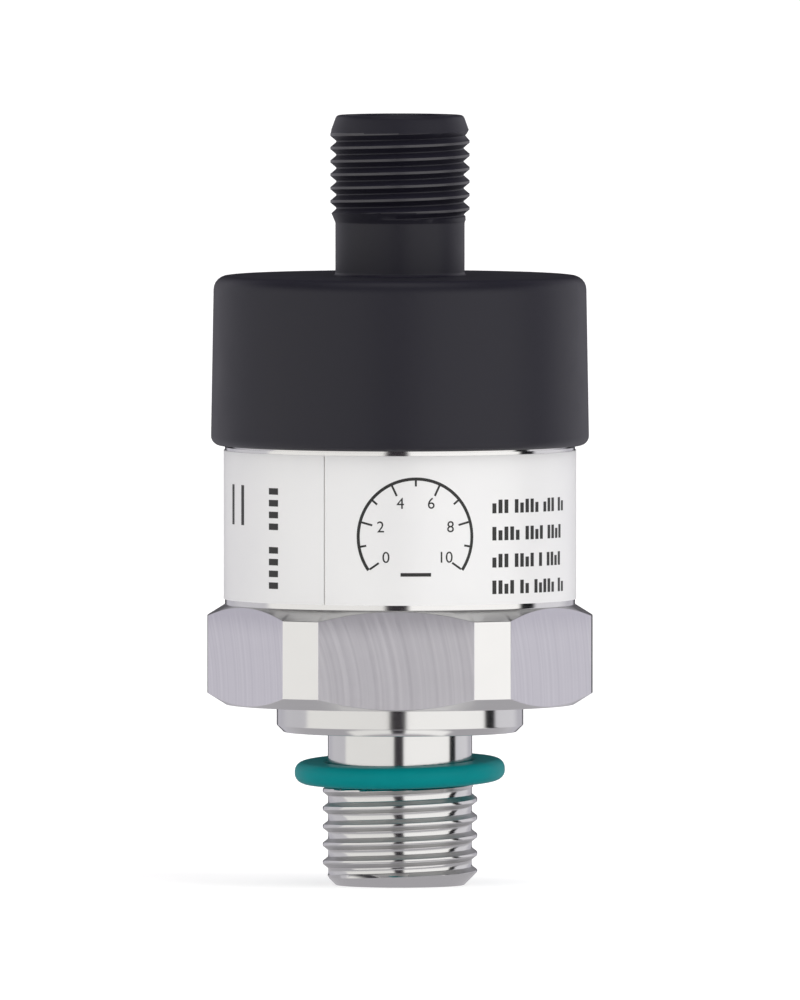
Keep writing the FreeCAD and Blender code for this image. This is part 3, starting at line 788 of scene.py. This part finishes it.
def socket_key():
    """The key inside the plug's socket, at the back."""
    bm = bmesh.new()
    size = Matrix.Diagonal((*KEY_SIZE, 1))
    bmesh.ops.create_cube(bm, size=1, matrix=Matrix.Translation(KEY_PLACE) @ size)
    bmesh.ops.bevel(
        bm, geom=bm.edges[:], offset=KEY_EDGE, segments=2, profile=0.5, affect="EDGES", material=-1
    )
    return bm


def make_cap(materials):
    """The moulded cap: skirt with snap bead and ribs, shoulder, plug neck, plug thread and keyed socket."""
    outline = [
        corner(PLUG_RIM_R - JOIN_GAP * LEAD_SLOPE, PLUG_RIM_Z + JOIN_GAP),
        corner(PLUG_TOP_R, PLUG_TOP_Z, PLUG_TOP_ROUND),
        corner(SOCKET_R + SOCKET_CHAMFER, PLUG_TOP_Z, SOCKET_EDGE),
        corner(SOCKET_R, PLUG_TOP_Z - SOCKET_CHAMFER, SOCKET_EDGE),
        corner(SOCKET_R, SKIRT_TOP_Z), corner(SKIRT_R, SKIRT_TOP_Z),
        corner(SKIRT_R, BEAD_TOP_Z), corner(BEAD_R, BEAD_TOP_Z),
        corner(BEAD_R, BEAD_FULL_Z), corner(SKIRT_R, BEAD_FOOT_Z),
        corner(SKIRT_R, CAP_FOOT_Z, SKIRT_EDGE), corner(CAP_FOOT_R, CAP_FOOT_Z, CAP_FOOT_ROUND),
        corner(CAP_SHOULDER_R, CAP_TOP_Z, CAP_SHOULDER_ROUND),
        corner(PLUG_NECK_R, CAP_TOP_Z, PLUG_NECK_FILLET),
        corner(PLUG_NECK_R, PLUG_NECK_TOP_Z - JOIN_GAP),
    ]
    trim = [
        (PLUG_NECK_R, PLUG_NECK_TOP_Z), (PLUG_THREAD_R, PLUG_THREAD_FOOT_Z),
        (PLUG_THREAD_R, PLUG_LEAD_Z), (PLUG_RIM_R, PLUG_RIM_Z),
    ]
    shell = turned(outline, closed=False)
    thread = thread_tube(
        thread_form(PLUG_HALF, PLUG_THREAD_DEPTH), PLUG_THREAD_R, PLUG_THREAD_PITCH, PLUG_CREST_Z, trim,
        PLUG_FADES,
    )
    # Crest faces take the finish whose lighter colour is a painted highlight.
    for face in thread.faces:
        middle = face.calc_center_median()
        if middle.z < PLUG_LEAD_Z and middle.xy.length > PLUG_THREAD_R - CREST_BAND:
            face.material_index = CREST_FINISH
    cap = added(shell, thread)
    bridge_at(cap, PLUG_NECK_TOP_Z)
    bridge_at(cap, PLUG_RIM_Z)
    ribs = [rib(math.radians(360 / RIB_COUNT * (index + 0.5))) for index in range(RIB_COUNT)]
    cap = added(cap, socket_key(), *ribs)
    return finish_mesh(cap, "cap_moulding", materials, ["plug_cap"])


def make_seal_ring(materials):
    """The green ring on the neck, tilted as it hangs."""
    ring = turned([
        corner(RING_HOLE_R, 0, RING_HOLE_ROUND), corner(RING_R, 0, RING_ROUND),
        corner(RING_R, RING_T, RING_ROUND), corner(RING_HOLE_R, RING_T, RING_HOLE_ROUND),
    ])
    tilt = Matrix.Rotation(RING_TILT_SIDE, 4, "Y") @ Matrix.Rotation(RING_TILT_FRONT, 4, "X")
    bmesh.ops.transform(ring, matrix=Matrix.Translation((0, 0, RING_FOOT_Z)) @ tilt, verts=ring.verts)
    return finish_mesh(ring, "seal_ring_green", materials, ["seal_ring"])


def make_label(materials):
    """The foil wrapped round the sleeve, with a narrow gap where its ends meet."""
    gap = SEAM_W / LABEL_R
    first = SEAM_ANGLE + gap / 2 - math.pi / 2
    bm = bmesh.new()
    inner_r = LABEL_R - LABEL_T
    corners = [
        (inner_r, LABEL_FOOT_Z), (LABEL_R, LABEL_FOOT_Z), (LABEL_R, LABEL_TOP_Z), (inner_r, LABEL_TOP_Z),
    ]
    turn = Matrix.Rotation(first, 3, "Z")
    verts = [bm.verts.new(turn @ Vector((r, 0, z))) for r, z in corners]
    face = bm.faces.new(verts)
    bmesh.ops.spin(
        bm, geom=[face, *face.edges, *verts], cent=(0, 0, 0), axis=AXIS, angle=2 * math.pi - gap,
        steps=ROUND_STEPS,
    )
    return finish_mesh(bm, "label_wrap", materials, ["type_label"])


def wrapped(bm):
    """Bends a flat print, drawn as (distance round the sleeve, height), onto the label."""
    width = max(abs(vert.co.x) for vert in bm.verts) + 1
    steps = int(2 * width / PRINT_STRIP)
    for step in range(steps + 1):
        everything = bm.verts[:] + bm.edges[:] + bm.faces[:]
        bmesh.ops.bisect_plane(
            bm, geom=everything, dist=MERGE, plane_co=(-width + step * PRINT_STRIP, 0, 0), plane_no=(1, 0, 0)
        )
    raised = bmesh.ops.extrude_face_region(bm, geom=bm.faces[:])["geom"]
    top = {item for item in raised if isinstance(item, bmesh.types.BMVert)}
    for vert in bm.verts:
        radius = LABEL_R + (PRINT_RISE if vert in top else -PRINT_SINK)
        angle = vert.co.x / LABEL_R
        vert.co = Vector((radius * math.sin(angle), -radius * math.cos(angle), vert.co.y))
    return bm


def patch(bm, middle, width, height):
    """One printed rectangle, with its middle placed by a matrix."""
    where = middle @ Matrix.Diagonal((width, height, 1, 1))
    bmesh.ops.create_grid(bm, x_segments=1, y_segments=1, size=0.5, matrix=where)


def bar(bm, x, z, width, height):
    """One printed bar, from its left end and its middle height."""
    patch(bm, Matrix.Translation((x + width / 2, z, 0)), width, height)


def numeral(text, x, z, size):
    """A printed number, centred there."""
    curve = bpy.data.curves.new("numeral", "FONT")
    curve.body = text
    curve.size = size
    curve.align_x = "CENTER"
    curve.align_y = "CENTER"
    letter = bpy.data.objects.new("numeral", curve)
    bpy.context.scene.collection.objects.link(letter)
    bpy.context.view_layer.update()
    flat = bpy.data.meshes.new_from_object(letter)
    bm = bmesh.new()
    bm.from_mesh(flat)
    bmesh.ops.translate(bm, vec=(x, z, 0), verts=bm.verts)
    bpy.data.objects.remove(letter)
    bpy.data.curves.remove(curve)
    bpy.data.meshes.remove(flat)
    return bm


def dial_arc(bm):
    """The scale's open arc."""
    first = -DIAL_SWEEP / 2 + math.pi / 2
    turn = Matrix.Rotation(first, 3, "Z")
    ends = [bm.verts.new(turn @ Vector((radius, 0, 0))) for radius in (DIAL_R - DIAL_LINE, DIAL_R)]
    edge = bm.edges.new(ends)
    bmesh.ops.spin(
        bm, geom=[edge, *ends], cent=(0, 0, 0), axis=AXIS, angle=DIAL_SWEEP, steps=DIAL_STEPS
    )
    bmesh.ops.translate(bm, vec=(DIAL_X, DIAL_Z, 0), verts=bm.verts)


def on_dial(index, radius):
    """The direction of one mark of the scale, and the place in it at that radius."""
    angle = math.pi / 2 + DIAL_SWEEP / 2 - DIAL_SWEEP * index / (MARK_COUNT - 1)
    return angle, DIAL_X + radius * math.cos(angle), DIAL_Z + radius * math.sin(angle)


def make_print(materials):
    """The label's print: an open scale with ticks and plain numbers, and bars in place of words."""
    bm = bmesh.new()
    dial_arc(bm)
    for index in range(MARK_COUNT):
        length = LONG_MARK if index % 2 == 0 else SHORT_MARK
        angle, x, z = on_dial(index, DIAL_R - DIAL_LINE - length / 2)
        patch(bm, Matrix.Translation((x, z, 0)) @ Matrix.Rotation(angle, 4, "Z"), length, MARK_W)
    numbers = []
    for index in range(0, MARK_COUNT, 2):
        angle, x, z = on_dial(index, DIAL_R - NUMBER_SET_IN)
        numbers.append(numeral(str(index), x, z, NUMBER_SIZE))
    bar(bm, DIAL_X - UNIT_W / 2, DIAL_Z - UNIT_DROP, UNIT_W, UNIT_H)
    for row_z, words in WORD_ROWS:
        x = WORDS_X
        for letters in words:
            for index in range(letters):
                tall = TALL_LETTER if (index + letters) % 3 else SHORT_LETTER
                bar(bm, x, row_z + LETTER_RISE - (TALL_LETTER - tall) / 2, LETTER_W, tall)
                x += LETTER_STEP
            x += WORD_GAP
    for index in range(COLUMN_COUNT):
        if index != COLUMN_GAP_AT:
            bar(bm, COLUMN_X, COLUMN_Z + index * COLUMN_STEP, COLUMN_W, COLUMN_H)
    for shift in (0.0, PAIR_STEP):
        bar(bm, PAIR_X + shift, PAIR_Z, PAIR_W, PAIR_H)
    return finish_mesh(wrapped(added(bm, *numbers)), "label_print", materials)


def make_pin(number, material):
    """One plug pin with a rounded tip, in the place of its solid."""
    low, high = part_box(f"contact_pin_{number}")
    middle = (low + high) / 2 / MM
    radius = (high.x - low.x) / 2 / MM
    foot_z = low.z / MM
    tip_z = high.z / MM
    outline = [
        corner(0, foot_z), corner(radius, foot_z, PIN_EDGE),
        corner(radius, tip_z - PIN_TIP_L, PIN_SHOULDER_ROUND),
        corner(radius / 2, tip_z, PIN_TIP_ROUND), corner(0, tip_z),
    ]
    pin = turned(outline, closed=False, steps=PIN_STEPS)
    bmesh.ops.translate(pin, vec=(middle.x, middle.y, 0), verts=pin.verts)
    return finish_mesh(pin, f"plug_pin_{number}", [material], [f"contact_pin_{number}"])


def dress_nodes(finishes):
    """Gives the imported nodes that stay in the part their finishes."""
    slots = {part["node"]: part["material_slot"] for part in frame["record"]["subparts"]}
    for name, solid in frame["nodes"].items():
        solid.data.materials.clear()
        solid.data.materials.append(finishes[slots[name]])


# Studio

def studio_ring(tree, where):
    """The studio's panels by their direction round the part, measured from the camera's side."""
    parts = node(tree, "SeparateXYZ", {"Vector": where}).outputs
    back = maths(tree, "MULTIPLY", parts[1], -1.0)
    angle = maths(tree, "ARCTAN2", parts[0], back)
    share = maths(tree, "MULTIPLY_ADD", angle, 1 / (2 * math.pi), 0.5 - math.degrees(CAMERA_AZIMUTH) / 360)
    ramp = node(tree, "ValToRGB", {"Fac": share})
    stops = ramp.color_ramp.elements
    for degrees, colour in STUDIO_RING[1:-1]:
        stops.new(0.5 + degrees / 360).color = colour
    stops[0].color = STUDIO_RING[0][1]
    stops[-1].color = STUDIO_RING[-1][1]
    return ramp.outputs["Color"]


def seen_directly(tree):
    """1 for a ray from the camera or through glass."""
    path = node(tree, "LightPath").outputs
    return maths(tree, "MAXIMUM", path["Is Camera Ray"], path["Is Transmission Ray"])


def make_world():
    """White behind the part, with the studio's panels all round it for the steel."""
    world = bpy.data.worlds.new("studio")
    bpy.context.scene.world = world
    world.use_nodes = True
    tree = world.node_tree
    where = node(tree, "TexCoord").outputs["Generated"]
    high = node(tree, "SeparateXYZ", {"Vector": where}).outputs[2]
    overhead = between(tree, high, CEILING_FROM, CEILING_FULL)
    lamp_above = between(tree, high, CEILING_LAMP_FROM, CEILING_LAMP_FULL)
    glossy = node(tree, "LightPath").outputs["Is Glossy Ray"]
    ceiling = mixed(tree, lamp_above, BACK_DARK, CEILING_LAMP)
    panels = mixed(tree, maths(tree, "MULTIPLY", overhead, glossy), studio_ring(tree, where), ceiling)
    direct = seen_directly(tree)
    shown = mixed(tree, direct, panels, grey(1.0))
    tree.links.new(shown, tree.nodes["Background"].inputs["Color"])
    indirect = maths(tree, "MULTIPLY_ADD", glossy, SHINE_GAIN - LIGHT_GAIN, LIGHT_GAIN)
    strength = maths(tree, "MULTIPLY_ADD", direct, 1.0 - LIGHT_GAIN, indirect)
    tree.links.new(strength, tree.nodes["Background"].inputs["Strength"])


def make_floor():
    """A plain floor that looks white and keeps the part's shadow.

    The steel mirrors it as grey near the part, a painted shade, and farther off as a painted
    reflection of the studio's panels. A patch close in front is painted light that shows the panels too, for
    the flange's chamfer.
    """
    bm = bmesh.new()
    bmesh.ops.create_circle(bm, cap_ends=True, radius=FLOOR_R / MM, segments=FLOOR_STEPS)
    bmesh.ops.scale(bm, vec=(MM, MM, MM), verts=bm.verts)
    mesh = bpy.data.meshes.new("floor")
    bm.to_mesh(mesh)
    bm.free()
    material, tree, shader = new_finish("floor_white")
    feed(tree, shader, Base_Color=grey(FLOOR_TONE), Roughness=FLOOR_ROUGHNESS, Specular_IOR_Level=0.0)
    path = node(tree, "LightPath").outputs
    where = place(tree)
    away = node(tree, "VectorMath", {0: where}, operation="LENGTH").outputs["Value"]
    depth = node(tree, "SeparateXYZ", {"Vector": where}).outputs[1]
    # Painted light: the patch close in front, for the flange's chamfer.
    ahead = between(tree, maths(tree, "DIVIDE", depth, away), FLOOR_AHEAD_FROM, FLOOR_AHEAD_FULL)
    inner = between(tree, away, FLOOR_FRONT_R, FLOOR_FRONT_R + FLOOR_FRONT_EDGE)
    outer = between(tree, away, FLOOR_FRONT_END_R, FLOOR_FRONT_END_R - FLOOR_FRONT_EDGE)
    clear = maths(tree, "MULTIPLY", maths(tree, "MULTIPLY", inner, outer), ahead)
    # Painted shade near the part and a painted reflection of the panels farther off, both seen only in the
    # steel.
    open_floor = maths(tree, "MAXIMUM", between(tree, away, FLOOR_NEAR_R, FLOOR_OPEN_R), clear)
    panels = mixed(tree, open_floor, FLOOR_NEAR_PAINTED_SHADE, studio_ring(tree, where))
    glow_colour = mixed(tree, path["Is Glossy Ray"], grey(FLOOR_GLOW), panels)
    seen = maths(tree, "MULTIPLY_ADD", path["Is Glossy Ray"], SHINE_GAIN, seen_directly(tree))
    glow = node(tree, "Emission", {"Color": glow_colour, "Strength": seen}).outputs["Emission"]
    both = node(tree, "AddShader", {0: shader.outputs["BSDF"], 1: glow}).outputs["Shader"]
    matt = node(tree, "MixShader", {0: path["Is Glossy Ray"], 1: both, 2: glow}).outputs["Shader"]
    tree.links.new(matt, tree.nodes["Material Output"].inputs["Surface"])
    mesh.materials.append(material)
    floor = bpy.data.objects.new("floor", mesh)
    bpy.context.scene.collection.objects.link(floor)


def make_lamp():
    """A large soft lamp high on the right, too soft to show in the steel."""
    data = bpy.data.lights.new("soft_lamp", "AREA")
    data.shape = "DISK"
    data.size = LAMP_SIZE
    data.energy = LAMP_ENERGY
    lamp = bpy.data.objects.new("soft_lamp", data)
    bpy.context.scene.collection.objects.link(lamp)
    lamp.location = LAMP_PLACE
    lamp.rotation_euler = (LAMP_AIM - LAMP_PLACE).to_track_quat("-Z", "Y").to_euler()
    lamp.visible_camera = False
    lamp.visible_glossy = False


def make_camera():
    """The camera at the photo's angle: far off, with a long lens, a little above the part."""
    data = bpy.data.cameras.new("camera")
    data.lens = CAMERA_LENS
    data.sensor_width = CAMERA_SENSOR
    data.clip_start = CAMERA_NEAR
    data.clip_end = CAMERA_FAR
    camera = bpy.data.objects.new("camera", data)
    bpy.context.scene.collection.objects.link(camera)
    flat = math.cos(CAMERA_ELEVATION)
    back = Vector((
        math.sin(CAMERA_AZIMUTH) * flat, -math.cos(CAMERA_AZIMUTH) * flat, math.sin(CAMERA_ELEVATION),
    ))
    camera.location = Vector((0, 0, AIM_Z)) + back * CAMERA_DISTANCE
    camera.rotation_euler = (-back).to_track_quat("-Z", "Y").to_euler()
    bpy.context.scene.camera = camera


def main():
    """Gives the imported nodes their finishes, makes the pieces that are finer here, and sets up the studio."""
    steel = turned_steel("turned_steel", base=0.74, rough=(0.09, 0.15), line_depth=0.0006)
    port_steel = turned_steel("port_steel", base=0.68, rough=(0.1, 0.17), line_depth=0.0008)
    sleeve_steel = turned_steel("sleeve_steel", base=0.74, rough=(0.08, 0.12), line_depth=0.0004)
    cone_steel = turned_steel("cone_steel", base=0.67, rough=(0.27, 0.36), line_depth=0.0012)
    # The flanks' rougher finish is real; their darker colour is painted shade in the thread's grooves.
    thread_flanks_painted_shade = turned_steel("thread_flanks_painted_shade", base=0.56, rough=(0.36, 0.46), line_depth=0.0008)
    cap_plastic = moulded_plastic(
        "cap_plastic", (0.0085, 0.0078, 0.015, 1), (0.0115, 0.0105, 0.0195, 1),
        rough=(0.40, 0.49), grain_size=0.07, grain_depth=0.004, sheen=0.36,
    )
    # The crests' lighter colour is a painted highlight; their glossier finish is real.
    cap_crests_painted_highlight = moulded_plastic(
        "cap_crests_painted_highlight", (0.03, 0.029, 0.036, 1), (0.042, 0.04, 0.048, 1),
        rough=(0.3, 0.4), grain_size=0.07, grain_depth=0.002, sheen=0.6,
    )
    seal_green = rubber("seal_green", (0.0, 0.26, 0.275, 1), (0.001, 0.30, 0.315, 1))
    label_foil = foil()
    contact_metal = plated_metal("contact_metal", (0.8, 0.6, 0.25, 1), (0.9, 0.72, 0.36, 1))
    finishes = {
        "stainless": steel,
        "cap_plastic": cap_plastic,
        "carrier_plastic": moulded_plastic(
            "carrier_plastic", (0.015, 0.015, 0.016, 1), (0.025, 0.025, 0.027, 1),
            rough=(0.4, 0.5), grain_size=0.05, grain_depth=0.002,
        ),
        "frame_plastic": moulded_plastic(
            "frame_plastic", (0.58, 0.56, 0.5, 1), (0.66, 0.64, 0.58, 1),
            rough=(0.45, 0.55), grain_size=0.06, grain_depth=0.002,
        ),
        "seal_green": seal_green,
        "seal_black": rubber("seal_black", grey(0.012), grey(0.022)),
        "label_foil": label_foil,
        "cell_ceramic": fired_ceramic(),
        "board_laminate": laminate(),
        "chip_body": moulded_plastic(
            "chip_body", grey(0.02), grey(0.035), rough=(0.4, 0.5), grain_size=0.04, grain_depth=0.002
        ),
        "capacitor_body": moulded_plastic(
            "capacitor_body", (0.7, 0.44, 0.08, 1), (0.8, 0.55, 0.13, 1),
            rough=(0.35, 0.45), grain_size=0.05, grain_depth=0.002,
        ),
        "resistor_body": moulded_plastic(
            "resistor_body", grey(0.06), grey(0.1), rough=(0.3, 0.4), grain_size=0.04, grain_depth=0.002
        ),
        "flex_film": moulded_plastic(
            "flex_film", (0.55, 0.25, 0.04, 1), (0.68, 0.34, 0.08, 1),
            rough=(0.2, 0.3), grain_size=0.1, grain_depth=0.001,
        ),
        "contact_metal": contact_metal,
        "spring_metal": plated_metal("spring_metal", (0.66, 0.45, 0.24, 1), (0.76, 0.55, 0.32, 1)),
    }
    dress_nodes(finishes)
    make_body([steel, port_steel, milled_steel(), sleeve_steel, cone_steel, thread_flanks_painted_shade])
    make_cap([cap_plastic, cap_crests_painted_highlight])
    make_seal_ring([seal_green])
    make_label([label_foil])
    make_print([ink()])
    for number in range(1, PIN_COUNT + 1):
        make_pin(number, contact_metal)
    make_world()
    make_floor()
    make_lamp()
    make_camera()
    bpy.context.scene.view_settings.view_transform = "Standard"


main()
